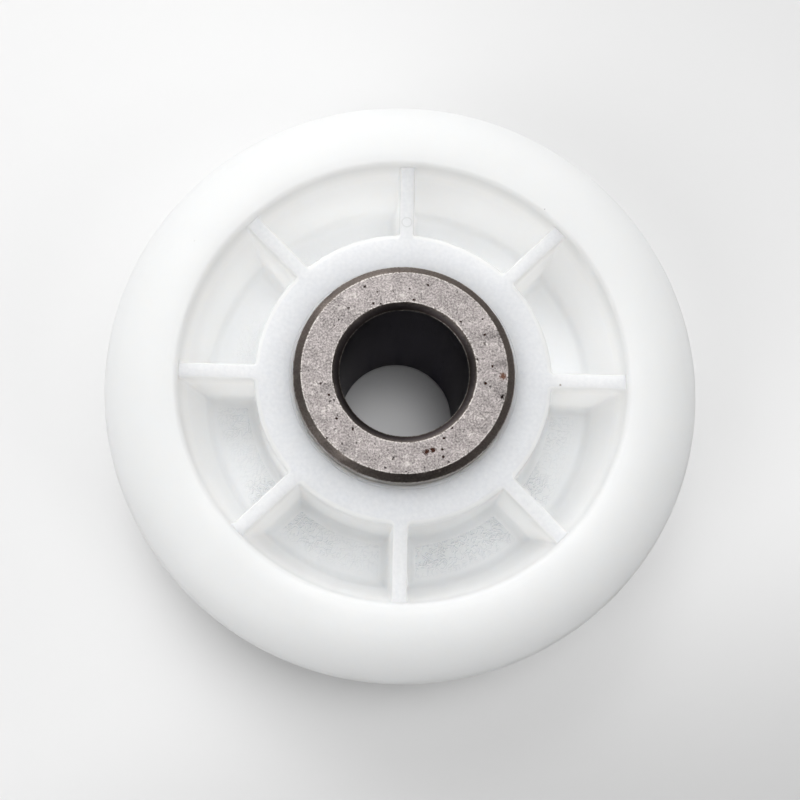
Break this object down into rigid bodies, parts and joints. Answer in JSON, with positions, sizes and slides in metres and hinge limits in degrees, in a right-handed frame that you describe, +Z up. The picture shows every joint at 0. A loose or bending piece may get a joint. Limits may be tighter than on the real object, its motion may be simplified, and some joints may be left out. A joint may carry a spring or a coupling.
{
  "type": "dryer idler pulley",
  "caption": "Flanged plastic belt wheel with radial ribs and a sintered iron bushing in its hub, an idler that tensions a dryer's drum belt.",
  "frame": {"origin": "centre of the bushing's lower end face, which the pulley stands on", "axes": "+Z up along the bore, +X along one rib"},
  "size_m": [0.06, 0.06, 0.023],
  "materials": {
    "moulded_plastic": "satin",
    "sintered_iron": "satin"
  },
  "bodies": {
    "root": {"wheel": "moulded_plastic", "bushing": "sintered_iron"}
  },
  "joints": []
}
